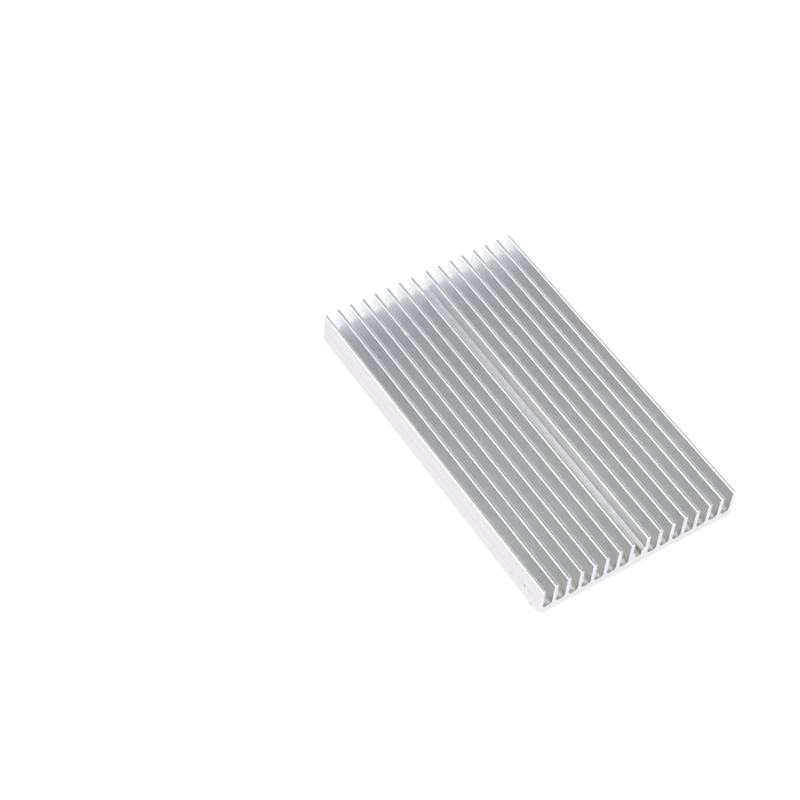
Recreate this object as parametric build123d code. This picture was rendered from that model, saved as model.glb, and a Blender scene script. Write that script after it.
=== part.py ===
"""Extruded aluminium heat sink with sixteen straight fins and a centre screw channel.

One aluminium section is pressed through a die and sawn to length, so the whole part is one solid.
Millimetres. The origin is the centre of the flat underside, X runs across the fins,
Y runs along them in the direction of extrusion, and Z points up to the fin tips.
"""
import os

from build123d import *

# Overall size
width = 60.0
length = 102.0
height = 9.8

# Base plate
base_thickness = 2.2
base_corner_radius = 0.25

# Fins, thinnest at the tip
fins_per_side = 8
fin_tip_thickness = 1.1
fin_root_thickness = 1.2
outer_fin_thickness = 0.92
fin_tip_radius = 0.35
channel_root_radius = 1.1

# Screw channel along the centre line
centre_channel_width = 3.75
shoulder_height = 5.75
shoulder_radius = 0.3
slot_lip_height = 4.75
slot_lip_radius = 0.15
slot_width = 1.8
slot_floor_height = 3.05
slot_corner_radius = 0.25

# How far the cutting outlines stand above the fin tips
overcut = 1.0

# Sizes that follow from the ones above
bays_per_side = fins_per_side - 1
bay_zone = width / 2 - outer_fin_thickness - centre_channel_width / 2
fin_pitch = bay_zone / bays_per_side
channel_tip_width = fin_pitch - fin_tip_thickness
wall_draft = (fin_root_thickness - fin_tip_thickness) / 2 / (height - base_thickness)


def wall_inset(level):
    """How far a fin wall has moved into the channel at this height above the underside."""
    return wall_draft * (height - level)


def vertices_at(builder, level):
    """Corners of the outline that lie at this height."""
    return builder.vertices().filter_by_position(Axis.Y, level, level)


def fin_channel_outline():
    """Cooling channel between two fins: drafted walls running into a rounded bottom."""
    top = height + overcut
    top_half = channel_tip_width / 2 - wall_inset(top)
    floor_half = channel_tip_width / 2 - wall_inset(base_thickness)
    root_radius = min(channel_root_radius, 0.98 * floor_half)
    with BuildSketch() as outline:
        with BuildLine():
            Polyline(
                (-top_half, top),
                (-floor_half, base_thickness),
                (floor_half, base_thickness),
                (top_half, top),
                close=True,
            )
        make_face()
        fillet(vertices_at(outline, base_thickness), root_radius)
    return outline.sketch


def screw_channel_outline():
    """Wide centre channel: sloping shoulders lead a screw into the narrow slot below them."""
    top = height + overcut
    top_half = centre_channel_width / 2 - wall_inset(top)
    shoulder_half = centre_channel_width / 2 - wall_inset(shoulder_height)
    slot_half = slot_width / 2
    with BuildSketch() as outline:
        with BuildLine():
            Polyline(
                (-top_half, top),
                (-shoulder_half, shoulder_height),
                (-slot_half, slot_lip_height),
                (-slot_half, slot_floor_height),
                (slot_half, slot_floor_height),
                (slot_half, slot_lip_height),
                (shoulder_half, shoulder_height),
                (top_half, top),
                close=True,
            )
        make_face()
        fillet(vertices_at(outline, shoulder_height), shoulder_radius)
        fillet(vertices_at(outline, slot_lip_height), slot_lip_radius)
        fillet(vertices_at(outline, slot_floor_height), slot_corner_radius)
    return outline.sketch


def channel_centres():
    """Centre lines of the cooling channels, the same on both sides of the screw channel."""
    first = centre_channel_width / 2 + fin_tip_thickness + channel_tip_width / 2
    right_side = [first + bay * fin_pitch for bay in range(bays_per_side)]
    return [-x for x in reversed(right_side)] + right_side


def section():
    """The extruded section: a solid bar with its channels taken out and its corners rounded."""
    with BuildSketch(Plane.XZ) as bar:
        Rectangle(width, height, align=(Align.CENTER, Align.MIN))
        fillet(vertices_at(bar, 0), base_corner_radius)
        with Locations(*[(x, 0) for x in channel_centres()]):
            add(fin_channel_outline(), mode=Mode.SUBTRACT)
        add(screw_channel_outline(), mode=Mode.SUBTRACT)
        fillet(vertices_at(bar, height), fin_tip_radius)
    return bar.sketch


def heat_sink():
    """The section extruded along Y and sawn square at both ends."""
    return extrude(section(), amount=length / 2, both=True)


os.makedirs("parts", exist_ok=True)
export_step(heat_sink(), "parts/heat_sink.step")
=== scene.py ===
import math

import bmesh
import bpy
from mathutils import Matrix, Vector


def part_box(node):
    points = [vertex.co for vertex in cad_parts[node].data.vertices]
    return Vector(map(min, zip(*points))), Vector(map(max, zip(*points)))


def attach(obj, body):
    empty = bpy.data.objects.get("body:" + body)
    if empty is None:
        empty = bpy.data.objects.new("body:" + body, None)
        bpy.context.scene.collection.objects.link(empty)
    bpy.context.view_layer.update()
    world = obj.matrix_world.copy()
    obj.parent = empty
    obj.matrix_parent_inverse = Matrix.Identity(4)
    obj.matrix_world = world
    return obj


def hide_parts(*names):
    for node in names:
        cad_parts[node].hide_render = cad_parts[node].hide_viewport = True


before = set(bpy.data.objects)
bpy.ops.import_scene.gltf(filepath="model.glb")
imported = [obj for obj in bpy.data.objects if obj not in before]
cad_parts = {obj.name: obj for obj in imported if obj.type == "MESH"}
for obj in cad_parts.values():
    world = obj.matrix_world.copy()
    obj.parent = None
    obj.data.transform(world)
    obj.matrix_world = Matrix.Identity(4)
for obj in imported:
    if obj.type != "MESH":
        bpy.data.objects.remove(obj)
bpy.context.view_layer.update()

MM = 0.001

# Sizes of the extrusion in millimetres: its outside comes from the frame, its section from the die
corner_low, corner_high = (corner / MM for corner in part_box("heat_sink"))
width = corner_high.x - corner_low.x
length = corner_high.y - corner_low.y
height = corner_high.z - corner_low.z
base_thickness = 2.2
base_corner_radius = 0.25
fins_per_side = 8
fin_tip_thickness = 1.1
fin_root_thickness = 1.2
outer_fin_thickness = 0.92
fin_tip_radius = 0.35
channel_root_radius = 1.1
centre_channel_width = 3.75
shoulder_height = 5.75
shoulder_radius = 0.3
slot_lip_height = 4.75
slot_lip_radius = 0.15
slot_width = 1.8
slot_floor_height = 3.05
slot_corner_radius = 0.25
sawn_edge_break = 0.14

# Sizes that follow from the ones above
bays_per_side = fins_per_side - 1
fin_pitch = (width / 2 - outer_fin_thickness - centre_channel_width / 2) / bays_per_side
channel_tip_width = fin_pitch - fin_tip_thickness
wall_draft = (fin_root_thickness - fin_tip_thickness) / 2 / (height - base_thickness)
front = -length / 2
left = -width / 2

# Coarsest steps of the mesh: along an arc, down a wall and between two rows of the section
ARC_STEP = math.radians(15)
WALL_STEP = 1.2
ROW_STEP = 2.5

# Extra rows: this far in from each sawn end, and at these shares of a nick's reach
END_ROWS = (0.0, sawn_edge_break, 0.3, 0.6, 0.9)
NICK_ROWS = (-1.0, -0.5, 0.0, 0.5, 1.0)

# Knocks in millimetres: middle, reach, and how far the metal at the middle has moved
NICKS = [
    ((-2.9, 46.1, height), 0.7, (0.12, 0.0, -0.16)),
    ((-2.9, 44.6, height), 0.6, (0.1, 0.0, -0.14)),
    ((-14.5, 34.6, height), 0.6, (0.1, 0.0, -0.12)),
    ((left, -43.0, height), 0.6, (0.12, 0.0, -0.1)),
    ((left, -36.1, height), 0.5, (0.1, 0.0, -0.1)),
]
CHIPS = [
    ((left + 0.1, front, 0.1), 1.1, (0.3, 0.25, 0.4)),
    ((10.9, front, 0.0), 0.7, (0.0, 0.2, 0.25)),
    ((12.4, front, 0.0), 0.8, (0.0, 0.2, 0.25)),
]

# Marks in millimetres: middle, half size, colour
DARK_SPECK = "#8A8886"
GREY_SPECK = "#94928F"
TIP_MARKS = [
    ((-25.9, -19.8, height), (0.25, 0.2, 0.5), DARK_SPECK),
    ((-25.9, -18.9, height), (0.25, 0.2, 0.5), DARK_SPECK),
    ((-21.9, -37.3, height), (0.25, 0.25, 0.5), GREY_SPECK),
    ((-21.8, 0.7, height), (0.25, 0.2, 0.5), GREY_SPECK),
    ((-18.0, -45.6, height), (0.25, 0.25, 0.5), GREY_SPECK),
    ((-18.1, -17.2, height), (0.25, 0.2, 0.5), GREY_SPECK),
    ((-13.8, 7.3, height), (0.25, 0.2, 0.5), GREY_SPECK),
    ((-29.5, -35.6, height), (0.3, 0.2, 0.5), GREY_SPECK),
    ((2.4, -4.3, height), (0.25, 0.2, 0.5), GREY_SPECK),
]
WALL_MARKS = [
    ((-26.3, -18.0, 6.1), (0.5, 0.25, 0.25), DARK_SPECK),
    ((9.6, -30.2, 6.9), (0.6, 1.6, 2.6), "#EFEEEC"),
    ((13.5, -18.0, 6.5), (0.8, 30.0, 4.5), "#F2F2F0"),
    ((5.7, -45.0, 6.5), (0.7, 1.6, 4.0), "#EEECE8"),
    ((-10.7, -44.5, 6.5), (0.7, 2.0, 4.0), "#EEECE8"),
    ((-22.4, -45.5, 6.5), (0.7, 1.5, 4.0), "#EEECE8"),
    ((25.2, -4.0, 6.5), (0.7, 2.2, 4.0), "#EEEDEA"),
]
OUTER_MARKS = [
    ((left, -44.1, 4.1), (0.5, 0.4, 0.45), "#A19D9B"),
    ((left, -47.3, 0.1), (0.7, 0.7, 0.5), "#6C6A68"),
    ((left, -43.0, 4.9), (0.5, 0.5, 0.4), "#E2DFE1"),
    ((left, -42.9, 3.8), (0.5, 0.6, 0.4), "#E0DDDF"),
    ((left, -41.5, 4.6), (0.5, 0.4, 0.5), "#E3E0E2"),
    ((left, -39.0, 3.0), (0.5, 0.8, 0.7), "#E4E1E3"),
    ((left, -47.8, 7.9), (0.5, 0.3, 0.5), "#DEDADC"),
]
SAWN_MARKS = [
    # Painted shade in the chip at the bottom left corner of the front end
    ((left + 0.5, front, 0.3), (0.75, 0.6, 0.4), "#6B6460"),
    ((-1.65, front, 5.55), (0.25, 0.5, 0.25), "#B5B3B8"),
    # Painted shade in and between the two chips further right on the bottom edge
    ((10.9, front, 0.1), (0.35, 0.5, 0.4), "#8A8785"),
    ((11.8, front, 0.35), (0.45, 0.5, 0.25), "#A3A0A0"),
    ((12.8, front, 0.2), (0.4, 0.5, 0.35), "#94918F"),
]

# Stains and painted light: colour, then its limits. A limit is a place in millimetres or the way that the
# surface faces, the value at which the colour starts and the value at which it is full
# Where the painted shade at the front end of the screw slot lies
SLOT_PAINTED_SHADE_LIMITS = [("x", -1.1, -1.0), ("x", 1.1, 1.0), ("y", front + 5, front + 2), ("z", 4.9, 4.7)]
WALL_STAINS_AND_PAINTED_LIGHT = [
    # Thin film over the front ends of the fins
    ("#F1F1F1", [("y", front + 24, front + 3)]),
    # Cream edge and grey middle in the channel bottoms at the front end: a painted highlight and painted
    # shade
    ("#EAE9E7", [("y", front + 3.0, front + 1.6), ("z", 3.6, 3.0)]),
    ("#BBB9BA", [("y", front + 1.4, front + 0.8), ("z", 3.6, 3.0), ("facing x", -0.26, -0.17)]),
    # Darker rim where the channels meet the sawn end
    ("#C4C2C4", [("y", front + 0.65, front + 0.35), ("z", 6.0, 4.0)]),
    # Painted shade at the front end of the screw slot, deeper on the wall that faces left
    ("#DAD9D8", SLOT_PAINTED_SHADE_LIMITS),
    ("#CAC8C7", SLOT_PAINTED_SHADE_LIMITS + [("facing x", -0.5, -0.8)]),
]
TIP_PAINTED_REFLECTION = [
    # Painted cool reflection on the flats of the tips, stronger towards the front end
    ("#DCE2EA", [("y", 25, -45), ("facing z", 0.9, 0.99)]),
]

# Places of the five finishes in the mesh's list of materials
WALL_SLOT, SAWN_SLOT, OUTER_SLOT, TIP_SLOT, EDGE_SLOT = range(5)


def wall_inset(level):
    """How far a fin wall has moved into its channel at this height."""
    return wall_draft * (height - level)


def channel_corners(centre):
    """Corners of one cooling channel from its right tip round to its left tip: x, z, radius."""
    tip_half = channel_tip_width / 2
    floor_half = tip_half - wall_inset(base_thickness)
    return [
        (centre + tip_half, height, fin_tip_radius),
        (centre + floor_half, base_thickness, channel_root_radius),
        (centre - floor_half, base_thickness, channel_root_radius),
        (centre - tip_half, height, fin_tip_radius),
    ]


def screw_channel_corners():
    """Corners of the centre channel, its shoulders and its slot, right tip to left tip."""
    tip_half = centre_channel_width / 2
    shoulder_half = tip_half - wall_inset(shoulder_height)
    right_side = [
        (tip_half, height, fin_tip_radius),
        (shoulder_half, shoulder_height, shoulder_radius),
        (slot_width / 2, slot_lip_height, slot_lip_radius),
        (slot_width / 2, slot_floor_height, slot_corner_radius),
    ]
    return right_side + [(-x, z, radius) for x, z, radius in reversed(right_side)]


def section_corners():
    """The whole section as corners with radii, anticlockwise seen from the front end."""
    first = centre_channel_width / 2 + fin_tip_thickness + channel_tip_width / 2
    centres = [first + bay * fin_pitch for bay in range(bays_per_side)]
    corners = [(-width / 2, 0, base_corner_radius), (width / 2, 0, base_corner_radius)]
    corners.append((width / 2, height, fin_tip_radius))
    for centre in reversed(centres):
        corners += channel_corners(centre)
    corners += screw_channel_corners()
    for centre in centres:
        corners += channel_corners(-centre)
    corners.append((-width / 2, height, fin_tip_radius))
    return corners


def rounded(before, corner, after):
    """Points of the arc that rounds one corner."""
    point = Vector(corner[:2])
    radius = corner[2]
    to_before = (Vector(before[:2]) - point).normalized()
    to_after = (Vector(after[:2]) - point).normalized()
    half = to_before.angle(to_after) / 2
    centre = point + (to_before + to_after).normalized() * (radius / math.sin(half))
    start = point + to_before * (radius / math.tan(half)) - centre
    turn = (math.pi - 2 * half) * (1 if to_before.cross(to_after) < 0 else -1)
    steps = max(2, math.ceil(abs(turn) / ARC_STEP))
    return [centre + Matrix.Rotation(turn * i / steps, 2) @ start for i in range(steps + 1)]


def section_outline():
    """Section points in order: arcs at the corners and evenly spaced points on the walls."""
    corners = section_corners()
    count = len(corners)
    arcs = [rounded(corners[i - 1], corners[i], corners[(i + 1) % count]) for i in range(count)]
    outline = []
    for arc, following in zip(arcs, arcs[1:] + arcs[:1]):
        outline += arc
        gap = following[0] - arc[-1]
        pieces = max(1, math.ceil(gap.length / WALL_STEP))
        outline += [arc[-1] + gap * i / pieces for i in range(1, pieces)]
    return outline


def outline_normals(outline):
    """Direction out of the metal at each section point."""
    normals = []
    for i, point in enumerate(outline):
        along = outline[(i + 1) % len(outline)] - outline[i - 1]
        normals.append(Vector((along.y, -along.x)).normalized())
    return normals


def row_stations():
    """Places along the length, in millimetres, at which the section is repeated."""
    rows = max(1, round(length / ROW_STEP))
    inner = length / 2 - END_ROWS[-1]
    stations = [-length / 2 + step for step in END_ROWS]
    stations += [-inner + 2 * inner * i / rows for i in range(1, rows)]
    stations += [length / 2 - step for step in END_ROWS]
    for (x, y, z), reach, push in NICKS:
        stations += [y + reach * share for share in NICK_ROWS]
    return sorted(stations)


def pushed_in(point):
    """Where a point of the surface ends up after the knocks that the part has taken."""
    for middle, reach, push in NICKS + CHIPS:
        share = 1 - (point - Vector(middle)).length / reach
        if share > 0:
            point = point + Vector(push) * math.sin(share * math.pi / 2)
    return point


def section_rows(mesh, outline, normals):
    """The section repeated along the length, drawn in by the edge break at both sawn ends."""
    stations = row_stations()
    rows = []
    for y in stations:
        inset = sawn_edge_break if y in (stations[0], stations[-1]) else 0.0
        places = [point - normal * inset for point, normal in zip(outline, normals)]
        rows.append([mesh.verts.new(pushed_in(Vector((x, y, z))) * MM) for x, z in places])
    return rows


def strip_slot(points, normals):
    """Which finish a strip of the section has, from its two points and their normals."""
    if min(point.y for point in points) > height - 2 * fin_tip_radius:
        return TIP_SLOT
    if max(point.y for point in points) < base_corner_radius:
        return OUTER_SLOT
    outward = min(point.x * normal.x for point, normal in zip(points, normals))
    return OUTER_SLOT if outward > width / 2 - outer_fin_thickness else WALL_SLOT


def build_heat_sink():
    """The extrusion as one closed mesh: rows of the section between two sawn ends."""
    outline = section_outline()
    normals = outline_normals(outline)
    strips = [(i, (i + 1) % len(outline)) for i in range(len(outline))]
    slots = [strip_slot((outline[i], outline[j]), (normals[i], normals[j])) for i, j in strips]
    mesh = bmesh.new()
    rows = section_rows(mesh, outline, normals)
    last = len(rows) - 2
    for number, (near, far) in enumerate(zip(rows, rows[1:])):
        for (i, j), slot in zip(strips, slots):
            face = mesh.faces.new((near[i], near[j], far[j], far[i]))
            face.material_index = EDGE_SLOT if number in (0, last) else slot
    sawn_ends = [mesh.faces.new(list(reversed(rows[0]))), mesh.faces.new(rows[-1])]
    bmesh.ops.recalc_face_normals(mesh, faces=mesh.faces)
    for face in sawn_ends:
        face.material_index = SAWN_SLOT
    for face in mesh.faces:
        face.smooth = True
    for row in (rows[0], rows[1], rows[-2], rows[-1]):
        for i, j in strips:
            mesh.edges.get((row[i], row[j])).smooth = False
    bmesh.ops.triangulate(mesh, faces=sawn_ends, ngon_method="BEAUTY")
    data = bpy.data.meshes.new("finned_extrusion")
    mesh.to_mesh(data)
    mesh.free()
    piece = bpy.data.objects.new("finned_extrusion", data)
    bpy.context.scene.collection.objects.link(piece)
    weighted = piece.modifiers.new("even_wall_shading", "WEIGHTED_NORMAL")
    weighted.keep_sharp = True
    return piece


def linear(code):
    """An sRGB hex colour as linear red, green, blue and alpha."""
    parts = [int(code[i : i + 2], 16) / 255 for i in (1, 3, 5)]
    return [c / 12.92 if c <= 0.04045 else ((c + 0.055) / 1.055) ** 2.4 for c in parts] + [1.0]


def lit(code, level):
    """Light of one colour, where level 1 shows as plain white."""
    return [channel * level for channel in linear(code)[:3]] + [1.0]


def add_node(tree, kind, sockets=None, **settings):
    """Adds a node: settings are its own, sockets are values or other nodes' outputs."""
    node = tree.nodes.new(kind)
    for name, value in settings.items():
        setattr(node, name, value)
    for name, value in (sockets or {}).items():
        if isinstance(value, bpy.types.NodeSocket):
            tree.links.new(value, node.inputs[name])
        else:
            node.inputs[name].default_value = value
    return node


def empty_material(name):
    """A new material with no nodes in it."""
    material = bpy.data.materials.new(name)
    material.use_nodes = True
    material.node_tree.nodes.clear()
    return material


def place_on_part(tree):
    """Where a point of the surface is on the part, in millimetres."""
    place = add_node(tree, "ShaderNodeTexCoord").outputs["Object"]
    return add_node(tree, "ShaderNodeVectorMath", {0: place, "Scale": 1 / MM}, operation="SCALE").outputs[0]


def blended(tree, colour, other, limits):
    """A colour that turns softly to another where all limits hold: value, its start, where it is full."""
    share = 1.0
    for value, start, full in limits:
        step = add_node(
            tree,
            "ShaderNodeMapRange",
            {"Value": value, "From Min": start, "From Max": full},
            interpolation_type="SMOOTHSTEP",
        )
        both = add_node(tree, "ShaderNodeMath", {0: share, 1: step.outputs["Result"]}, operation="MULTIPLY")
        share = both.outputs[0]
    mix = add_node(tree, "ShaderNodeMixRGB", {"Fac": share, "Color1": colour, "Color2": other})
    return mix.outputs["Color"]


def spotted(tree, colour, place, spots):
    """A colour with small egg-shaped marks on it, whose outlines are made uneven by a fine noise."""
    wobble_grain = 0.5
    wobble_reach = 0.3
    core = 0.55
    wobble = add_node(tree, "ShaderNodeTexNoise", {"Vector": place, "Scale": 1 / wobble_grain, "Detail": 1.0})
    offset = add_node(
        tree,
        "ShaderNodeVectorMath",
        {0: wobble.outputs["Color"], 1: (0.5, 0.5, 0.5)},
        operation="SUBTRACT",
    )
    uneven = add_node(
        tree,
        "ShaderNodeVectorMath",
        {0: offset.outputs[0], 1: (wobble_reach, wobble_reach, wobble_reach), 2: place},
        operation="MULTIPLY_ADD",
    )
    for middle, half_size, tint in spots:
        scale = [1 / size for size in half_size]
        shift = [-at / size for at, size in zip(middle, half_size)]
        sockets = {"Vector": uneven.outputs[0], "Location": shift, "Scale": scale}
        local = add_node(tree, "ShaderNodeMapping", sockets)
        reach = add_node(tree, "ShaderNodeVectorMath", {0: local.outputs[0]}, operation="LENGTH")
        colour = blended(tree, colour, linear(tint), [(reach.outputs["Value"], 1.0, core)])
    return colour


def with_stains_and_painted_light(tree, colour, place, stains_and_painted_light):
    """A colour with stains and painted light over it, each where all of its limits hold."""
    at = add_node(tree, "ShaderNodeSeparateXYZ", {"Vector": place}).outputs
    normal = add_node(tree, "ShaderNodeNewGeometry").outputs["Normal"]
    facing = add_node(tree, "ShaderNodeSeparateXYZ", {"Vector": normal}).outputs
    measured = {"x": at["X"], "y": at["Y"], "z": at["Z"], "facing x": facing["X"], "facing z": facing["Z"]}
    for tint, limits in stains_and_painted_light:
        sockets = [(measured[name], start, full) for name, start, full in limits]
        colour = blended(tree, colour, linear(tint), sockets)
    return colour


def extruded_aluminium(name, dull_line, bright_line, roughness, anisotropy, marks, stains_and_painted_light=()):
    """Mill-finish aluminium as it leaves the die, with fine lines along its length.

    The lines blur what the metal mirrors across the fins more than along them, as far as the
    anisotropy says. They are drawn 0.35 mm wide, coarser than a die leaves them, so that they show.
    """
    line_width = 0.35
    line_length = 150
    dull_level, bright_level = 0.3, 0.7
    extra_roughness = 0.012
    material = empty_material(name)
    tree = material.node_tree
    place = place_on_part(tree)
    scale = (1 / line_width, 1 / line_length, 1 / line_width)
    drawn_out = add_node(tree, "ShaderNodeMapping", {"Vector": place, "Scale": scale}).outputs[0]
    noise = add_node(tree, "ShaderNodeTexNoise", {"Vector": drawn_out, "Scale": 1.0, "Detail": 1.0})
    die_lines = noise.outputs["Fac"]
    tone = add_node(tree, "ShaderNodeValToRGB", {"Fac": die_lines})
    dull, bright = tone.color_ramp.elements
    dull.position = dull_level
    dull.color = linear(dull_line)
    bright.position = bright_level
    bright.color = linear(bright_line)
    gloss = add_node(
        tree,
        "ShaderNodeMapRange",
        {
            "Value": die_lines,
            "From Min": dull_level,
            "From Max": bright_level,
            "To Min": roughness,
            "To Max": roughness + extra_roughness,
        },
    )
    across = add_node(tree, "ShaderNodeTangent", direction_type="RADIAL", axis="Y")
    marked = spotted(tree, tone.outputs["Color"], place, marks)
    shader = add_node(
        tree,
        "ShaderNodeBsdfPrincipled",
        {
            "Base Color": with_stains_and_painted_light(tree, marked, place, stains_and_painted_light),
            "Metallic": 1.0,
            "Roughness": gloss.outputs["Result"],
            "Anisotropic": anisotropy,
            "Tangent": across.outputs["Tangent"],
        },
    )
    add_node(tree, "ShaderNodeOutputMaterial", {"Surface": shader.outputs["BSDF"]})
    return material


def sawn_aluminium(name, tone, marks):
    """Saw-cut aluminium: brighter and duller than the walls, and scored in arcs by the blade.

    The arcs are drawn 0.7 mm apart and the grain between them 0.6 mm wide, both coarser than the
    saw leaves them, so that they show.
    """
    arc_spacing = 0.7
    grain_size = 0.6
    blade_centre = (90, 0, -60)
    arc_depth = 0.03
    arc_share = 0.3
    material = empty_material(name)
    tree = material.node_tree
    place = place_on_part(tree)
    shift = [-at for at in blade_centre]
    from_blade = add_node(tree, "ShaderNodeMapping", {"Vector": place, "Location": shift}).outputs[0]
    arcs = add_node(
        tree,
        "ShaderNodeTexWave",
        {
            "Vector": from_blade,
            "Scale": math.tau / 20 / arc_spacing,
            "Distortion": 2.0,
            "Detail": 2.0,
            "Detail Scale": 20.0,
        },
        wave_type="RINGS",
        rings_direction="Y",
    )
    grain = add_node(tree, "ShaderNodeTexNoise", {"Vector": place, "Scale": 1 / grain_size, "Detail": 3.0})
    relief = add_node(
        tree,
        "ShaderNodeMath",
        {0: arcs.outputs["Fac"], 1: arc_share, 2: grain.outputs["Fac"]},
        operation="MULTIPLY_ADD",
    )
    scored = add_node(
        tree,
        "ShaderNodeBump",
        {"Height": relief.outputs[0], "Strength": 0.6, "Distance": arc_depth * MM},
    )
    shader = add_node(
        tree,
        "ShaderNodeBsdfPrincipled",
        {
            "Base Color": spotted(tree, linear(tone), place, marks),
            "Metallic": 1.0,
            "Roughness": 0.45,
            "Normal": scored.outputs["Normal"],
        },
    )
    add_node(tree, "ShaderNodeOutputMaterial", {"Surface": shader.outputs["BSDF"]})
    return material


def white_board_material():
    """Matt white board. The camera and polished metal see it as plain white, and it keeps the shadow."""
    own_glow = 0.83
    material = empty_material("white_board")
    tree = material.node_tree
    rays = add_node(tree, "ShaderNodeLightPath").outputs
    glow = 0.0
    for name in ("Is Camera Ray", "Is Glossy Ray", "Is Transmission Ray"):
        glow = add_node(tree, "ShaderNodeMath", {0: glow, 1: rays[name]}, operation="MAXIMUM").outputs[0]
    glow = add_node(tree, "ShaderNodeMath", {0: glow, 1: own_glow}, operation="MULTIPLY").outputs[0]
    shade = add_node(tree, "ShaderNodeBsdfDiffuse", {"Color": linear("#898989")})
    light = add_node(tree, "ShaderNodeEmission", {"Strength": glow})
    both = add_node(tree, "ShaderNodeAddShader", {0: shade.outputs[0], 1: light.outputs[0]})
    add_node(tree, "ShaderNodeOutputMaterial", {"Surface": both.outputs[0]})
    return material


def make_floor():
    """A wide board just under the part."""
    half = 1500 * MM
    drop = 0.05 * MM
    corners = [(-half, -half, -drop), (half, -half, -drop), (half, half, -drop), (-half, half, -drop)]
    data = bpy.data.meshes.new("floor")
    data.from_pydata(corners, [], [(0, 1, 2, 3)])
    data.materials.append(white_board_material())
    floor = bpy.data.objects.new("floor", data)
    bpy.context.scene.collection.objects.link(floor)


def make_world():
    """A light tent along the fins, which mirror it in long bands.

    Its back half has a long softbox on the left and a dim gap overhead. Towards the far end the
    light turns cooler, the softbox fades and the gap grows lighter. The front half is calmer: one
    even light with the same gap. Both ends of the tent are plain white, and so is all that the
    camera sees of it.
    """
    world = bpy.data.worlds.new("light_tent")
    bpy.context.scene.world = world
    world.use_nodes = True
    tree = world.node_tree
    tree.nodes.clear()
    direction = add_node(tree, "ShaderNodeTexCoord").outputs["Generated"]
    towards = add_node(tree, "ShaderNodeSeparateXYZ", {"Vector": direction}).outputs
    # How far a direction leans to the back end, from -1 to 1, and its turn up from the right side
    back = towards["Y"]
    turn = add_node(tree, "ShaderNodeMath", {0: towards["Z"], 1: towards["X"]}, operation="ARCTAN2")
    turn = turn.outputs[0]

    def band(start, full, fading, end):
        """Limits of a band along the tent, in degrees up from the right-hand horizon."""
        start, full, fading, end = (math.radians(angle) for angle in (start, full, fading, end))
        return [(turn, start, full), (turn, end, fading)]

    def glow(near, far):
        """Light that turns from a warm white at the near level to a cooler white at the far level."""
        return blended(tree, lit("#FFFEFD", near), lit("#EFF4FF", far), [(back, 0.45, 0.56)])

    white = lit("#FFFFFF", 1.0)
    seen = add_node(tree, "ShaderNodeLightPath").outputs["Is Camera Ray"]
    gap = band(36, 66, 76, 108)
    softbox = band(84, 126, 144, 180)
    towards_front = [(back, 0.1, -0.1)]
    back_end = [(back, 0.7, 0.8)]
    front_end = [(back, -0.7, -0.8)]
    camera_view = [(seen, 0.0, 1.0)]
    back_half = blended(tree, glow(near=1.15, far=0.63), glow(near=0.32, far=0.52), gap)
    back_half = blended(tree, back_half, glow(near=2.3, far=0.8), softbox)
    front_half = blended(tree, lit("#FFFFFF", 0.88), lit("#FFFFFF", 0.48), gap)
    tent = blended(tree, back_half, front_half, towards_front)
    for plain_part in (back_end, front_end, camera_view):
        tent = blended(tree, tent, white, plain_part)
    light = add_node(tree, "ShaderNodeBackground", {"Color": tent})
    add_node(tree, "ShaderNodeOutputWorld", {"Surface": light.outputs[0]})


def make_camera():
    """The photograph's camera: its place, aim, small roll and lens were fitted to the part."""
    place = Vector((-226.94, -250.99, 427.70)) * MM
    aim = Vector((-25.66, 19.75, 5.0)) * MM
    roll = math.radians(5.19)
    data = bpy.data.cameras.new("camera")
    data.sensor_width = 36.0
    data.lens = 92.99
    data.clip_start = 0.01
    data.clip_end = 20.0
    camera = bpy.data.objects.new("camera", data)
    upright = (aim - place).to_track_quat("-Z", "Y")
    turn = Matrix.Rotation(roll, 4, "Z")
    camera.matrix_world = Matrix.Translation(place) @ upright.to_matrix().to_4x4() @ turn
    bpy.context.scene.collection.objects.link(camera)
    bpy.context.scene.camera = camera


scene = bpy.context.scene
scene.view_settings.view_transform = "Standard"
make_camera()
make_world()
make_floor()

# Light reaches the channel bottoms only after many mirrorings between the fin walls
scene.cycles.max_bounces = 24
scene.cycles.glossy_bounces = 24

heat_sink = build_heat_sink()
FINISHES = {
    # Grey walls that mirror the tent in soft bands along the fins
    WALL_SLOT: extruded_aluminium(
        "extruded_aluminium_fins",
        dull_line="#F2F2F3",
        bright_line="#F6F6F7",
        roughness=0.275,
        anisotropy=0.93,
        marks=WALL_MARKS,
        # These include painted highlight and shade in the channel mouths and at the screw slot's front end
        stains_and_painted_light=WALL_STAINS_AND_PAINTED_LIGHT,
    ),
    # Sawn ends, a dull near-white from all sides
    SAWN_SLOT: sawn_aluminium("sawn_aluminium_ends", tone="#F1F0F5", marks=SAWN_MARKS),
    # Flat sides and underside, where the die lines show most
    OUTER_SLOT: extruded_aluminium(
        "extruded_aluminium_outside",
        dull_line="#E7E4E8",
        bright_line="#F3F1F4",
        roughness=0.3,
        anisotropy=0.95,
        marks=OUTER_MARKS,
    ),
    # Fin tips, whose lines are rubbed down by handling, so each rounded corner has a thin highlight
    TIP_SLOT: extruded_aluminium(
        "rubbed_aluminium_fin_tips",
        dull_line="#F2F3F6",
        bright_line="#F5F6F9",
        roughness=0.275,
        anisotropy=0.26,
        marks=TIP_MARKS,
        # Painted cool reflection on the flats of the tips
        stains_and_painted_light=TIP_PAINTED_REFLECTION,
    ),
    # Broken edges of the sawn ends, with a tone a little brighter than the cuts as a painted highlight along
    # the edges
    EDGE_SLOT: sawn_aluminium("deburred_aluminium_edges_with_painted_highlight", tone="#FAFAFC", marks=SAWN_MARKS),
}
for slot in sorted(FINISHES):
    heat_sink.data.materials.append(FINISHES[slot])
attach(heat_sink, "root")
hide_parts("heat_sink")
